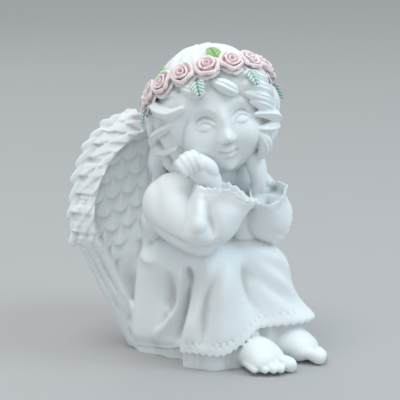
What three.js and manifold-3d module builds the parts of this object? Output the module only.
// A small cast-resin cherub that sits with its elbows on its knees and its cheeks on its hands.
// Hand-made roses and leaves are glued round its head as a wreath.
// Millimetres, +Z up. The figure looks towards -Y and its left side is +X. The origin is on its underside.
import * as THREE from 'three';
import { mergeVertices } from 'three/addons/utils/BufferGeometryUtils.js';
import Module from 'manifold-3d';

const wasm = await Module();
wasm.setup();

// Driving dimensions

// Head: an egg-shaped skull, turned and leaning on the right hand, under a cap of hair.
const HEAD_CENTRE = [0, -5, 93.5];
const SKULL = { side: 20.5, front: 21, height: 22.5 };
const HAIR = { side: 22.8, front: 23.2, height: 26 };
const HAIRLINE = { brow: 10, back: -45 };
const HEAD_YAW = -32;
const HEAD_BACK = 7;
const HEAD_LEAN = 12;

// Skirt: a round plan that changes with height, and a hem that rises over the feet.
const SKIRT_CENTRE = [1, 2];
const SKIRT_TOP = 49;
const SKIRT_FRONT = [30.5, 30.5, 29, 27, 24];
const SKIRT_BACK = [32, 33, 31, 27, 22];
const SKIRT_HALF = [24, 24.5, 24, 23.5, 22];
const SKIRT_FLARE = 15;
const HEM_LIP = 4.5;
const KNEE_BEARING = 31;
const KNEE_HIGH = 38;
const HEM_LOW = 2.7;
const HEM_SIDES = 6;
const HEM_RISE = 8;
const HEM_CORNER_LIFT = 1.2;
const HEM_THICK = 1.2;
const HEM_INSET = 4;
const HEM_LOBES = 20;
const HEM_LOBE_DROP = 1.2;
const FOLD_DEEP = 1.6;
const FOLDS_ROUND = 9;
const SEAT_BACK = 6;
const PANEL_EDGE_FOOT = 62;
const PANEL_EDGE_LEAN = 0.48;
// Pleats down the skirt: bearings and heights from top to foot, a width, and how far each stands out.
const PLEAT_RADIUS = 24;
const PLEATS = [
  { line: [[-50, 38], [-54, 31], [-62, 22], [-71, 13], [-78, 6]], wide: 3.4, high: -4.4 },
  { line: [[-58, 41], [-61, 32], [-69, 22], [-85, 14], [-100, 9]], wide: 3, high: 2.6 },
  { line: [[-78, 36], [-83, 27], [-88, 19]], wide: 5.6, high: -3.6 },
  { line: [[-43, 40], [-48, 30], [-53, 21]], wide: 3, high: -2 },
  { line: [[-47, 29], [-50, 18], [-52, 8]], wide: 3.2, high: 1.8 },
  { line: [[-29, 40], [-37, 28], [-41, 12]], wide: 3, high: -3 },
  { line: [[-6, 38], [1, 28], [9, 19]], wide: 3.4, high: -1.5 },
  { line: [[9, 38], [18, 28], [28, 18]], wide: 3.4, high: -1.4 },
  { line: [[62, 37], [66, 24], [70, 8]], wide: 4, high: -3 },
];

// Arms: puffed sleeves from the shoulder to the elbow and up to a long bell mouth, with a hand above it.
const ARMS = [
  {
    side: -1,
    shoulder: [-15.5, 6, 64],
    elbow: [-16.5, -15, 50],
    mouth: [-10, -23.5, 70],
    wrist: [-12.8, -19.5, 71],
    palm: [-18.4, -16.9, 76.6],
    tilt: 0.5,
    full: 1,
    droop: 5.5,
  },
  {
    side: 1,
    shoulder: [15.5, 6, 64],
    elbow: [16, -17.5, 50],
    mouth: [11.5, -23, 68.5],
    wrist: [8.6, -20.5, 71],
    palm: [10, -16.9, 79],
    tilt: -0.1,
    full: 0.84,
    droop: -2.5,
  },
];
const SLEEVE_WIDE = 11.4;
const MOUTH_LONG = 11;
const MOUTH_NARROW = 6.6;

// Feet: where each heel and the tips of its toes stand.
const FEET = [
  { side: -1, heel: [1, -22], toes: [1.2, -41.6] },
  { side: 1, heel: [15.5, -22], toes: [27, -38.5] },
];
const FOOT_WIDE = 16.5;
const FOOT_TALL = 11;

// Wings: a panel from the back, drawn by its distance out from the spine and its height.
const WING_TALL = 93;
const WING_WIDE = 28.5;
const WING_WIDEST_AT = 52;
const WING_CORNER_AT = 46;
const WING_FOOT_WIDE = 5;
const WING_SWEEP = 23.4;
const WING_THICK = { foot: 8, top: 5 };
const WING_ROOT = { foot: [14, 22], top: [8.5, 25.5] };
const WING_CUP = 5;
const SCALE_ROWS = 6;
const SCALE_COLUMNS = 4;
const SCALE_FOOT = 34;
const SCALE_PITCH = 8.2;
const SCALE_STEP = 1.5;
const FLIGHT_DEEP = 0.9;
const WING_ROLL = 7.5;
const LOW_ROLL = 5;

// Wreath: roses on a ring that is tipped back across the head, with leaves above and below them.
const ROSES = 16;
const ROSE_WIDE = 8.4;
const ROSE_TALL = 5;
const ROSE_TILT = 10;
const LEAF_PAIRS = 6;
const WREATH_HEIGHT = 25;
const WREATH_TIP = 18;
const WREATH_TURN = 8;
const LEAF_LONG = 7;
const LEAF_WIDE = 5.6;
const LEAF_TILT = 18;
const SEAT_DEEP = 0.8;
const SEAT_GAP = 0.3;

// Everything below the ground plane is cut away, so that the underside is flat.
const GROUND_CUT = 40;

const resin = new THREE.MeshStandardMaterial({ color: 0xf1f4f6, roughness: 0.55, metalness: 0 });
const petalPaint = new THREE.MeshStandardMaterial({ color: 0xe3b4b8, roughness: 0.6, metalness: 0 });
const leafPaint = new THREE.MeshStandardMaterial({ color: 0x8fb58c, roughness: 0.6, metalness: 0 });

// Small tools

const { sin, cos, abs, sqrt, exp, max, min, PI } = Math;
const rad = THREE.MathUtils.degToRad;
const toDegrees = THREE.MathUtils.radToDeg;
const lerp = THREE.MathUtils.lerp;
const vec = (x, y, z) => new THREE.Vector3(x, y, z);

// A value read from an evenly spaced list, with t from 0 at its first entry to 1 at its last.
function along(list, t) {
  const at = min(max(t, 0), 1) * (list.length - 1);
  const low = min(Math.floor(at), list.length - 2);
  return lerp(list[low], list[low + 1], at - low);
}

// A round swelling of height 1 at the given place, as wide as the two spreads.
function swell(x, y, spreadX, spreadY) {
  return exp(-((x / spreadX) ** 2) - (y / spreadY) ** 2);
}

// A smooth step from 0 at low to 1 at high.
const ease = (x, low, high) => THREE.MathUtils.smoothstep(x, low, high);

// A number from -1 to 1, drawn out so that more of the grid lies near 0.
function crowd(s, share) {
  return s * (share + (1 - share) * s * s);
}

// A closed mesh as a solid, turned right side out.
function solid(geometry) {
  geometry.deleteAttribute('normal');
  geometry.deleteAttribute('uv');
  const merged = mergeVertices(geometry, 1e-4);
  const vertProperties = merged.attributes.position.array;
  const triVerts = new Uint32Array(merged.index.array);
  const made = new wasm.Manifold(new wasm.Mesh({ numProp: 3, vertProperties, triVerts }));
  if (made.volume() > 0) return made;
  return new wasm.Manifold(new wasm.Mesh({ numProp: 3, vertProperties, triVerts: triVerts.reverse() }));
}

// A closed skin on a sphere's grid: place(turn, rise) gives each point.
// Turn runs round from 0 to 1, and rise runs from one pole to the other.
function skin(turns, rings, place) {
  const geometry = new THREE.SphereGeometry(1, turns, rings);
  const { position, uv } = geometry.attributes;
  for (let i = 0; i < uv.count; i++) {
    const rise = 1 - uv.getY(i);
    const atPole = rise === 0 || rise === 1;
    const p = place(atPole ? 0 : uv.getX(i) % 1, rise);
    position.setXYZ(i, p.x, p.y, p.z);
  }
  return solid(geometry);
}

// An oval section carried along a curve and closed at both ends.
// Facing is the way the section's depth points, and a smaller blunt gives fuller ends.
function strand({ path, width, depth, facing, turns = 8, rings = 6, blunt = 0.6 }) {
  const curve = new THREE.CatmullRomCurve3(path, false, 'catmullrom', 0.5);
  return skin(turns, rings, (turn, rise) => {
    const t = (1 - cos(PI * rise)) / 2;
    const full = sin(PI * rise) ** blunt;
    const centre = curve.getPoint(t);
    const ahead = curve.getTangent(t);
    const side = ahead.clone().cross(facing(centre)).normalize();
    const up = side.clone().cross(ahead);
    return centre
      .addScaledVector(side, cos(2 * PI * turn) * along(width, t) * full)
      .addScaledVector(up, sin(2 * PI * turn) * along(depth, t) * full);
  });
}

// The same strand with a round section.
function limb(path, radius, facing, turns, rings) {
  return strand({ path, width: radius, depth: radius, facing: () => facing, turns, rings });
}

function mesh(name, made, material) {
  const { vertProperties, triVerts } = made.getMesh();
  const geometry = new THREE.BufferGeometry();
  geometry.setAttribute('position', new THREE.BufferAttribute(vertProperties, 3));
  geometry.setIndex(new THREE.BufferAttribute(triVerts, 1));
  geometry.computeVertexNormals();
  const piece = new THREE.Mesh(geometry, material);
  piece.name = name;
  return piece;
}

// Head

const headTurn = new THREE.Matrix4().compose(
  vec(...HEAD_CENTRE),
  new THREE.Quaternion().setFromEuler(
    new THREE.Euler(rad(-HEAD_BACK), rad(-HEAD_LEAN), rad(HEAD_YAW), 'ZXY'),
  ),
  vec(1, 1, 1),
);
const onHead = (point) => point.applyMatrix4(headTurn);

// A point of an egg at a longitude from the face's middle and a latitude, in degrees.
function eggPoint(egg, lon, lat, lift) {
  const out = cos(rad(lat));
  return vec(
    (egg.side + lift) * out * sin(rad(lon)),
    -(egg.front + lift) * out * cos(rad(lon)),
    (egg.height + lift) * sin(rad(lat)),
  );
}

// How far a child's plain face stands out from the egg: brow, cheeks, chin, nose, eyes and lips.
function faceRelief(lon, lat) {
  const bothSides = (at, up, wide, tall) =>
    swell(lon - at, lat - up, wide, tall) + swell(lon + at, lat - up, wide, tall);
  return (
    0.9 * swell(lon, lat - 24, 34, 16) +
    2.0 * bothSides(31, -26, 17, 15) +
    2.2 * swell(lon, lat + 55, 15, 10) -
    2.0 * bothSides(21, -6, 10, 7.5) +
    1.7 * bothSides(21, -8, 7, 4.8) +
    1.3 * swell(lon, lat + 9, 6, 11) +
    3 * swell(lon, lat + 21, 7.5, 6.5) +
    1.3 * swell(lon, lat + 35, 9, 3) -
    0.8 * swell(lon, lat + 39, 9, 1.6) +
    1.4 * swell(lon, lat + 43, 7.5, 3)
  );
}

function head() {
  return skin(22, 17, (turn, rise) => {
    const lon = 180 * crowd(2 * turn - 1, 0.4);
    const s = 1 - 2 * rise;
    const lat = 90 * crowd(s, 0.62) - 18 * (1 - s * s);
    return onHead(eggPoint(SKULL, lon, lat, faceRelief(lon, lat)));
  });
}

// A point over the head on the egg of the hair.
function hairPoint(lon, lat, lift = 0) {
  return eggPoint(HAIR, lon, lat, lift);
}

// The same egg in the wreath's own bearings: an angle round it from the front, and a height above it.
function wreathPoint(angle, height) {
  const up = rad(height);
  const away = vec(cos(up) * sin(rad(angle)), -cos(up) * cos(rad(angle)), sin(up));
  away.applyAxisAngle(vec(1, 0, 0), rad(-WREATH_TIP));
  return away.divideScalar(Math.hypot(away.x / HAIR.side, away.y / HAIR.front, away.z / HAIR.height));
}

// The hair's cap has a shallow channel for the wreath, and ends at a hairline over the brow and ears.
function hairCap() {
  const [top, low] = [WREATH_HEIGHT + 10, WREATH_HEIGHT - 10];
  return skin(2 * ROSES, 9, (turn, rise) => {
    const angle = 360 * turn - 180 + WREATH_TURN;
    const drop = low - 4 - (HAIRLINE.back + (HAIRLINE.brow - HAIRLINE.back) * swell(angle, 0, 62, 1));
    const below = [0, 0.35, 0.7, 1].map((part) => low - 4 - part * drop);
    const height = along([90, 64, top + 4, top, low, ...below, -90], rise);
    const lift = along([0, 0, 0, -SEAT_DEEP, -SEAT_DEEP, 0, 0, 0, -5, -20], rise);
    const point = wreathPoint(angle, height);
    return onHead(point.setLength(point.length() + lift));
  });
}

// The latitude of the wreath's ring at a longitude of the head.
const ringLatitude = (lon) => WREATH_HEIGHT + WREATH_TIP * cos(rad(lon));

// A lock of hair is laid on the hair's egg through its places. It swells in the middle, lifts at its end
// and dives under the wreath.
function hairLock({ way, wide, thick, out }) {
  const path = way.map(([lon, lat], i) => {
    const t = i / (way.length - 1);
    const dive = 4.5 * (1 - ease(abs(lat - ringLatitude(lon)), 10, 18));
    return onHead(hairPoint(lon, lat, sin(PI * t) - 0.8 + out * t * t - dive));
  });
  const middle = vec(...HEAD_CENTRE);
  return strand({
    path,
    width: [0.36, 0.52, 0.54, 0.42].map((w) => w * wide),
    depth: [0.55, 0.95, 1, 0.75].map((d) => d * thick),
    facing: (p) => p.clone().sub(middle),
    turns: 5,
    rings: 4,
  });
}

// Locks by longitudes and latitudes on the head: bangs, the right side, then the left side.
const LOCKS = [
  { way: [[-44, 33], [-30, 27], [-20, 22], [-12, 23]], wide: 4.6, thick: 2.2, out: 0.2 },
  { way: [[-4, 30], [5, 24], [13, 18], [20, 14]], wide: 4.8, thick: 2.4, out: 0.3 },
  { way: [[-100, 25], [-76, 27], [-58, 28], [-42, 23]], wide: 5.2, thick: 2.4, out: 0.2 },
  { way: [[-98, 15], [-76, 12], [-56, 11], [-35, 14]], wide: 4.2, thick: 2.6, out: 0.8 },
  { way: [[-36, 2], [-55, 4], [-80, -3], [-90, -14], [-72, -21]], wide: 3.6, thick: 2.8, out: 0.9 },
  { way: [[-100, 20], [-106, 4], [-107, -12], [-98, -26]], wide: 9, thick: 2.4, out: 1.2 },
  { way: [[-68, -28], [-76, -40], [-88, -48], [-100, -52]], wide: 8, thick: 2.6, out: 1.2 },
  { way: [[28, 20], [38, 16], [54, 10], [74, 4]], wide: 4.2, thick: 2.2, out: 0.5 },
  { way: [[29, 13], [38, 8], [50, 3], [67, -2]], wide: 3.8, thick: 2.2, out: 0.4 },
  { way: [[32, 6], [40, 1], [50, -4], [60, -7]], wide: 3.6, thick: 2, out: 0.2 },
  { way: [[36, -8], [45, -9], [56, -11], [70, -15]], wide: 5.4, thick: 2.2, out: 0.8 },
  { way: [[42, -26], [47, -31], [48, -38], [45, -44]], wide: 4.2, thick: 2, out: 0 },
  { way: [[84, 20], [92, 6], [99, -8], [104, -20]], wide: 9, thick: 2.2, out: 0.4 },
];
const BACK_LOCK_LONGITUDES = [-160, -128, 128, 160, 180];
const NAPE_LOCKS = [-8, 0, 8];

function backLock(lon) {
  const top = ringLatitude(lon) - 18;
  const way = [8, -7, 6, -4].map((swing, i) => [lon + swing, lerp(top, -48, i / 3)]);
  return hairLock({ way, wide: 11.5, thick: 3.2, out: 2.2 });
}

// A lock that hangs from the nape to between the shoulders.
function napeLock(across) {
  const back = 17 - (across * across) / 22;
  return strand({
    path: [[-4, 88], [0, 79], [1.5, 72], [0.5, 65]].map(([behind, z]) => vec(across, back + behind, z)),
    width: [5, 6, 5.8, 3.6],
    depth: [4.4, 4.6, 3.6, 1.8],
    facing: () => vec(0, 1, 0),
    turns: 5,
    rings: 4,
  });
}

function hair() {
  return [
    hairCap(),
    ...LOCKS.map(hairLock),
    ...BACK_LOCK_LONGITUDES.map(backLock),
    ...NAPE_LOCKS.map(napeLock),
  ];
}

// Dress

// The height of the hem at a bearing from the figure's front, in degrees, without its lobes.
function hemHeight(bearing) {
  const corner = HEM_CORNER_LIFT * swell(bearing + 52, 0, 16, 1);
  const rise = HEM_RISE * ease(bearing, -26, 6) * (1 - ease(bearing, 50, 95));
  return HEM_LOW + HEM_SIDES * swell(bearing, 0, 95, 1) + rise + corner;
}

// The skirt's reach from its centre at a bearing and height, with knees, a flare and hanging folds.
function skirtReach(bearing, z) {
  const t = z / SKIRT_TOP;
  const ahead = cos(rad(bearing));
  const aside = sin(rad(bearing));
  const length = along(ahead > 0 ? SKIRT_FRONT : SKIRT_BACK, t);
  const half = along(SKIRT_HALF, t);
  const round = 2.3;
  const plain = ((abs(ahead) / length) ** round + (abs(aside) / half) ** round) ** (-1 / round);
  const hang = max(0, 1 - z / 46);
  const wander = bearing + 10 * sin(rad(3 * bearing + 40));
  const fold = FOLD_DEEP * hang * (0.4 + 0.6 * aside * aside) * cos(rad(FOLDS_ROUND * wander));
  const flare = SKIRT_FLARE * hang * swell(bearing - 46, 0, 30, 1);
  const lip = HEM_LIP * swell(bearing - 44, z - 14, 16, 6);
  const up = z - KNEE_HIGH;
  const knees = 3.6 * (swell(bearing - KNEE_BEARING, up, 16, 13) + swell(bearing + KNEE_BEARING, up, 16, 13));
  const between = -4 * swell(bearing, up, 11, 18);
  const pastEdge = -bearing - PANEL_EDGE_FOOT + PANEL_EDGE_LEAN * z;
  const seatRound = ease(pastEdge, 0, 9) * (1 - ease(-bearing, 85, 125));
  const seat = SEAT_BACK * seatRound * (1 - 0.75 * ease(z, 18, 40));
  return plain + fold + flare + lip + knees + between - seat + pleats(bearing, z);
}

// How far the pleats stand out at a bearing and height, by the distance from each one's line.
function pleats(bearing, z) {
  const place = vec(rad(bearing) * PLEAT_RADIUS, z, 0);
  const nearest = vec(0, 0, 0);
  return PLEATS.reduce((sum, { line, wide, high }) => {
    const points = line.map(([at, up]) => vec(rad(at) * PLEAT_RADIUS, up, 0));
    const lengths = points.slice(1).map((end, i) => {
      new THREE.Line3(points[i], end).closestPointToPoint(place, true, nearest);
      return nearest.distanceTo(place);
    });
    return sum + high * swell(min(...lengths), 0, wide, 1);
  }, 0);
}

// From its crown at the lap down to the hem, then under the hem's edge to a smaller foot on the ground.
function skirt() {
  const turns = 2 * HEM_LOBES;
  const rings = 12;
  const hemRise = 8 / rings;
  return skin(turns, rings, (turn, rise) => {
    const bearing = 180 * crowd(2 * turn - 1, 0.75);
    const frontness = swell(bearing, 0, 100, 1);
    const lobe = HEM_LOBE_DROP * frontness * abs(sin(PI * HEM_LOBES * turn));
    const hem = hemHeight(bearing) - lobe;
    const down = min(rise / hemRise, 1);
    const under = max(rise - hemRise, 0) / (1 - hemRise);
    const crown = sin((PI / 2) * min(1, down / 0.6));
    const upper = lerp(SKIRT_TOP, hem, down ** 2.2);
    const z = under > 0 ? along([hem, hem - HEM_THICK, hem - HEM_THICK, -1, -1], under) : upper;
    const inset = along([0, 0.1, 1, 1, 1], under) * HEM_INSET * frontness;
    const reach = under === 1 ? 0 : (skirtReach(bearing, max(z, hem)) - inset) * crown;
    return vec(
      SKIRT_CENTRE[0] + reach * sin(rad(bearing)),
      SKIRT_CENTRE[1] - reach * cos(rad(bearing)),
      z,
    );
  });
}

// Seat, back and chest, leaning forward to the neck.
function torso() {
  return strand({
    path: [vec(0, 15, -2), vec(0, 16, 18), vec(0, 13, 40), vec(0, 7, 60), vec(0, 1, 78)],
    width: [14, 16, 17, 16.5, 9],
    depth: [14, 15, 15, 14, 8],
    facing: () => vec(0, 1, 0),
    turns: 12,
    rings: 7,
    blunt: 0.45,
  });
}

// The neck and the top of the chest.
function neck() {
  return limb([vec(1, -4, 88), vec(0.5, -4, 78), vec(0, -4, 64)], [7.5, 7.5, 12.5], vec(1, 0, 0), 9, 4);
}

// A fold of cloth that hangs at the waist behind the sleeve.
function waistCloth(side) {
  const path = [vec(side * 16, 6, 61), vec(side * 17, 9.5, 53), vec(side * 16.5, 11, 45)];
  return limb(path, [3.6, 5, 3.6], vec(0, 1, 0), 7, 4);
}

// Arms and feet. Side is 1 on the figure's left and -1 on its right.

function sleeve(arm) {
  const side = arm.side;
  const shoulder = vec(...arm.shoulder);
  const elbow = vec(...arm.elbow);
  const upperMiddle = shoulder.clone().lerp(elbow, 0.5).add(vec(side * 1.5, 0, 3));
  const pastElbow = elbow.clone().add(vec(0, -8, -3));
  const upperWide = [0.8, 1.05, 1, 0.75].map((w) => w * SLEEVE_WIDE * (0.5 + 0.5 * arm.full));
  return [limb([shoulder, upperMiddle, pastElbow], upperWide, vec(1, 0, 0.3), 9, 5), bell(arm)];
}

// The forearm's sleeve opens as a long oval bell with a hollow mouth, and its inner end droops as a flap.
function bell({ side, elbow, mouth, full, droop }) {
  const start = vec(...elbow).add(vec(0, 0, -6));
  const end = vec(...mouth);
  const middle = vec(...elbow).lerp(end, 0.5).add(vec(0, -0.5, 0));
  const curve = new THREE.CatmullRomCurve3([start, middle, end], false, 'catmullrom', 0.5);
  const flap = vec(-side * 0.766, -0.643, 0);
  const aside = vec(-side * 0.643, 0.766, 0);
  const rings = 7;
  const rim = 5 / rings;
  return skin(12, rings, (turn, rise) => {
    const outer = min(rise / rim, 1);
    const inner = max(rise - rim, 0) / (1 - rim);
    const t = outer * (1 - 0.22 * ease(inner, 0, 0.7));
    const angle = 2 * PI * turn;
    const startRound = sqrt(1 - (1 - min(outer / 0.3, 1)) ** 2);
    const waves = 1 + 0.05 * ease(outer, 0.6, 1) * cos(7 * angle + side);
    const closing = along([1, 0.84, 0], inner);
    const long = along([8.5, 11.5, 12.2, 11.6, MOUTH_LONG], t) * startRound * waves * full * closing;
    const short = along([8.5, 10.5, 9, 7, MOUTH_NARROW], t) * startRound * waves * full * closing;
    const lower = droop * ease(cos(angle), 0, 1) * ease(outer, 0.3, 1);
    return curve
      .getPoint(t)
      .addScaledVector(flap, long * cos(angle))
      .addScaledVector(aside, short * sin(angle))
      .add(vec(0, 0, -lower));
  });
}

// A loose fist with its palm outwards: four fingers curl over the top and down to the palm.
function hand(arm) {
  const side = arm.side;
  const palm = vec(...arm.palm);
  const wrist = vec(...arm.wrist);
  const out = vec(side * 0.5, -0.86, 0).normalize();
  const level = vec(side * out.y, -side * out.x, 0);
  const up = vec(0, 0, 1).addScaledVector(level, -arm.tilt).normalize();
  const inward = level.clone().add(vec(0, 0, arm.tilt)).normalize();
  const at = (across, forward, high) =>
    palm.clone().addScaledVector(inward, across).addScaledVector(out, forward).addScaledVector(up, high);
  const heel = strand({
    path: [wrist.clone().add(vec(0, 0, -6)), wrist, at(0.8, -0.4, 0), at(0.2, -0.9, 5.6)],
    width: [3.3, 3.4, 4.5, 5, 4.2],
    depth: [3.3, 3.3, 3.7, 3.4, 2.6],
    facing: () => out,
    turns: 6,
    rings: 5,
  });
  const fingers = [-4.8, -2.8, -0.8, 1.2].map((across, i) => {
    const top = [4.6, 5.4, 5.6, 5.2][i];
    const path = [at(across, -1, 1), at(across, 0, top), at(across, 2.6, top - 1), at(across, 3, -0.4)];
    return limb(path, [1.6, 1.75, 1.75, 1.5], inward, 5, 4);
  });
  const thumb = limb([at(5, 0.4, -6), at(4, 0.9, -1), at(2.4, 0.6, 4)], [3, 2.9, 2], out, 5, 4);
  return [heel, ...fingers, thumb];
}

function foot({ side, heel, toes }) {
  const from = vec(...heel, 0);
  const ahead = vec(...toes, 0).sub(from);
  const long = ahead.length();
  ahead.normalize();
  const inner = vec(-ahead.y, ahead.x, 0).multiplyScalar(-side);
  const at = (forward, across, up) =>
    from.clone().addScaledVector(ahead, forward).addScaledVector(inner, across).add(vec(0, 0, up));
  const sole = strand({
    path: [at(-3, 0, 5.5), at(0.35 * long, 0, 5.5), at(0.7 * long, 0.3, 4), at(0.92 * long, 0.6, 2.6)],
    width: [0.42, 0.46, 0.5, 0.46].map((w) => w * FOOT_WIDE),
    depth: [0.6, 0.62, 0.48, 0.3].map((d) => d * FOOT_TALL),
    facing: () => vec(0, 0, 1),
    turns: 9,
    rings: 7,
    blunt: 0.5,
  });
  const ankle = limb([at(4.5, 0, 5), at(1, 0, 11), at(-5, 0, 18)], [6.4, 6.8, 7, 6], vec(1, 0, 0), 7, 4);
  const digits = [0, 1, 2, 3, 4].map((i) => {
    const across = lerp(0.38, -0.42, i / 4) * FOOT_WIDE;
    const reach = long * (1 - 0.02 * i * i);
    const thick = i === 0 ? 2.8 : 2.1 - 0.12 * i;
    const path = [at(reach - 6, 0.9 * across, 3.8), at(reach - 2, across, 3.2), at(reach + 1, across, 1.8)];
    return limb(path, [thick, 1.05 * thick, thick], vec(0, 0, 1), 5, 3);
  });
  return [sole, ankle, ...digits];
}

// Wings

// How far the wing reaches out at a height: a slope up from the foot, then a round shoulder.
function wingEdge(b) {
  if (b < WING_CORNER_AT) return lerp(WING_FOOT_WIDE, WING_WIDE, max(b, 0) / WING_CORNER_AT);
  return WING_WIDE * sqrt(max(0, 1 - ((b - WING_WIDEST_AT) / (WING_TALL - WING_WIDEST_AT + 0.5)) ** 2));
}

// The point of a wing at a distance out, a height, and a distance before its middle surface.
function wingPoint(side, a, b, before) {
  const root = [0, 1].map((i) => lerp(WING_ROOT.foot[i], WING_ROOT.top[i], b / WING_TALL));
  const sweep = rad(WING_SWEEP);
  const cup = WING_CUP * (a / WING_WIDE) ** 2 + 2 * max(0, (b - 55) / 38) ** 2;
  const ahead = before + cup;
  return vec(
    side * (root[0] + a * cos(sweep) + ahead * sin(sweep)),
    root[1] + a * sin(sweep) - ahead * cos(sweep),
    b,
  );
}

// Half of a wing's thickness at a height.
function wingHalf(b) {
  return lerp(WING_THICK.foot, WING_THICK.top, min(1, max(0, b) / 60)) / 2;
}

// How far the edge of a wing's front face rolls forward: a broad lip that fades to the foot and the top.
function wingRoll(across, b) {
  const lip = lerp(LOW_ROLL, WING_ROLL, ease(b, 30, 56)) * ease(b, 4, 24) * (1 - 0.9 * ease(b, 72, 86));
  const inner = 0.62 * (1 - ease(b, 76, 82));
  return lip * ease(across, inner, inner + 0.2) * (1.3 - 0.9 * across);
}

// The rings of a wing's grid from its foot to its top. Each row of scales takes two rings at its tips:
// one on the row below, and one a step out from it.
function wingRings() {
  const plain = { row: 0, step: 0, scaled: 0, grooved: 0 };
  const flights = [-1, 1, 14, 26].map((b) => ({ ...plain, b, grooved: 1 }));
  const scales = [];
  for (let row = 0; row < SCALE_ROWS; row++) {
    const b = SCALE_FOOT + row * SCALE_PITCH;
    scales.push({ b, row, step: 0, scaled: 1, grooved: 0 });
    scales.push({ b: b + 0.4, row, step: SCALE_STEP, scaled: 1, grooved: 0 });
  }
  const top = [85, 91, WING_TALL].map((b) => ({ ...plain, b }));
  return [...flights, ...scales, ...top];
}

// A closed panel with staggered rows of round scales on both faces, and long grooves below them.
function wingPanel(side) {
  const rings = wingRings();
  const rootInside = -3;
  return skin(4 * SCALE_COLUMNS, rings.length - 1, (turn, rise) => {
    const ring = rings[Math.round(rise * (rings.length - 1))];
    const across = abs(1 - 2 * turn);
    const face = turn < 0.5 ? 1 : -1;
    const tip = abs(cos(PI * (SCALE_COLUMNS * across + 0.5 * ring.row)));
    const b = ring.b - ring.scaled * 0.45 * SCALE_PITCH * tip;
    const end = rise === 0 || rise === 1 ? 0 : 1;
    const edge = wingEdge(b) + 1.2 * ring.step * across ** 8;
    const a = end === 0 ? 0.5 * edge : lerp(rootInside, edge, across);
    const body = wingHalf(b) * sqrt(1 - (2 * across - 1) ** 6);
    const groove = ring.grooved * FLIGHT_DEEP * cos(2 * PI * (SCALE_COLUMNS - 1) * across) * sin(PI * across);
    const relief = ring.step * (0.4 + 0.6 * tip) + groove;
    const roll = face > 0 ? wingRoll(across, b) : 0;
    return wingPoint(side, a, b, end * (face * (body + relief) + roll));
  });
}

// The way of the leading edge, from the shoulder over the top and down the outer side.
const EDGE_WAY = [
  [0, 87],
  [9, 89],
  [18, 85],
  [25, 75],
  [28, 61],
  [27.5, 49],
];

// A feather laid on the wing: a flat oval whose tip lifts from the surface on its face's side.
// It points away from straight down by lean, in degrees, outwards if positive.
function feather(side, face, { a, b, lean, long, wide, before, lift, thick }) {
  const out = sin(rad(lean));
  const down = cos(rad(lean));
  return skin(5, 3, (turn, rise) => {
    const round = sin(PI * rise) ** 0.7;
    const angle = 2 * PI * turn + PI / 2;
    const p = -cos(PI * rise) * 0.5 * long;
    const w = cos(angle) * round * 0.5 * wide;
    const n = sin(angle) * round * 0.5 * thick;
    const above = before + face * (n + (lift * p) / long);
    return wingPoint(side, a + out * p + down * w, b - down * p + out * w, above);
  });
}

// Feathers that overlap along the leading edge, with their tips standing out from it.
function wingCoverts(side) {
  const count = 7;
  const edge = new THREE.SplineCurve(EDGE_WAY.map(([a, b]) => new THREE.Vector2(a, b)));
  return Array.from({ length: count }, (_, i) => {
    const t = lerp(0.1, 1, i / (count - 1));
    const at = edge.getPoint(t);
    const way = edge.getTangent(t);
    const lean = toDegrees(Math.atan2(way.x, -way.y)) + 34;
    const shape = { long: 13.5, wide: 7.4, before: 1.2, lift: 1.8, thick: 3 };
    return feather(side, -1, { a: at.x - 1.4, b: at.y - 1.2, lean, ...shape });
  });
}

function wing(side) {
  return [wingPanel(side), ...wingCoverts(side)];
}

// Wreath

// The place of a flower at an angle round the wreath: local +Z stands out of the hair, and local +Y
// crosses the wreath towards the crown. Across moves it that way, in degrees of the ring's slope.
function wreathPlace(angle, across, lift) {
  const point = wreathPoint(angle, WREATH_HEIGHT + across);
  const slope = vec(point.x / HAIR.side ** 2, point.y / HAIR.front ** 2, point.z / HAIR.height ** 2);
  const normal = slope.normalize();
  const crown = vec(0, 0, 1).applyAxisAngle(vec(1, 0, 0), rad(-WREATH_TIP));
  const left = crown.cross(normal).normalize();
  const place = new THREE.Matrix4().makeBasis(left, normal.clone().cross(left), normal);
  place.setPosition(point.addScaledVector(normal, lift));
  return headTurn.clone().multiply(place);
}

// A pinched rose: a bud inside a ring of three petals and four outer petals with folded corners.
function rose(turnBy) {
  return skin(8, 6, (turn, rise) => {
    const angle = 2 * PI * turn;
    const outer = 1 + 0.14 * cos(4 * angle + turnBy);
    const inner = 1 + 0.14 * cos(3 * angle + turnBy);
    const ring = along([1, inner, inner, outer, outer, 1, 1], rise);
    const reach = along([0, 0.4, 0.52, 1, 0.75, 0.42, 0], rise) * ring * 0.5 * ROSE_WIDE;
    const z = along([0.7, 1, 0.5, 0.68, 0.25, 0, 0], rise) * ROSE_TALL;
    return vec(reach * cos(angle), reach * sin(angle), z);
  });
}

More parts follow.
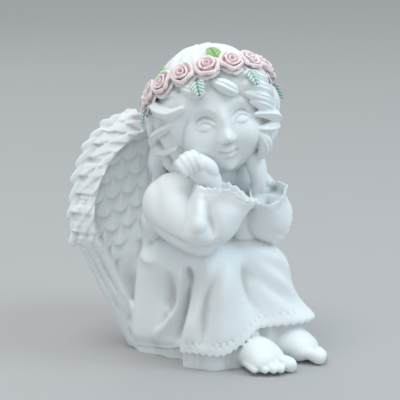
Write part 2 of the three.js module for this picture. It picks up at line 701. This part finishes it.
// A pointed leaf whose halves rise from its middle vein.
function leaf() {
  return skin(6, 3, (turn, rise) => {
    const t = (1 - cos(PI * rise)) / 2;
    const half = 0.5 * LEAF_WIDE * sin(PI * rise) ** 0.8 * (1.25 - 0.5 * t);
    const x = half * cos(2 * PI * turn);
    const thick = 0.7 * sin(2 * PI * turn) * sin(PI * rise);
    const y = LEAF_LONG * t;
    return vec(x, y, 1 + 0.2 * abs(x) + thick - (y * y) / (2 * HAIR.side));
  });
}

const numbered = (kind, i) => `${kind}_${String(i + 1).padStart(2, '0')}`;

function roses() {
  const tilt = new THREE.Matrix4().makeRotationX(rad(-ROSE_TILT));
  return Array.from({ length: ROSES }, (_, i) => {
    const angle = ((i + 0.5) * 360) / ROSES - 180 + WREATH_TURN;
    const place = wreathPlace(angle, 0, SEAT_GAP - SEAT_DEEP + 0.1).multiply(tilt);
    return mesh(numbered('rose', i), rose(2.4 * i).transform(place.elements), petalPaint);
  });
}

// Leaves stand in gaps between the roses, spread evenly round: above the wreath and below it in turn.
function leaves() {
  const lift = new THREE.Matrix4().makeRotationX(rad(LEAF_TILT));
  const hang = new THREE.Matrix4().makeRotationZ(PI).multiply(lift);
  return Array.from({ length: 2 * LEAF_PAIRS }, (_, i) => {
    const gap = Math.round((i * ROSES) / (2 * LEAF_PAIRS));
    const angle = (gap * 360) / ROSES - 180 + WREATH_TURN;
    const above = wreathPlace(angle, 9, 0);
    const below = wreathPlace(angle, -11, 2).multiply(hang);
    const place = i % 2 === 0 ? above : below;
    return mesh(numbered('leaf', i), leaf().transform(place.elements), leafPaint);
  });
}

// The figure is one casting with a flat underside. Sealed slivers of air between its forms are filled by
// keeping only its outer shell.
const castForms = [
  skirt(),
  torso(),
  neck(),
  head(),
  ...hair(),
  ...ARMS.flatMap((arm) => [...sleeve(arm), ...hand(arm), waistCloth(arm.side), ...wing(arm.side)]),
  ...FEET.flatMap(foot),
];
const ground = solid(new THREE.BoxGeometry(200, 200, GROUND_CUT).translate(0, 0, -GROUND_CUT / 2));
const shells = wasm.Manifold.union(castForms).subtract(ground).decompose();
const figure = shells.reduce((best, shell) => (shell.volume() > best.volume() ? shell : best));

const angel = new THREE.Group();
angel.add(mesh('angel_figure', figure, resin), ...roses(), ...leaves());

export default angel;
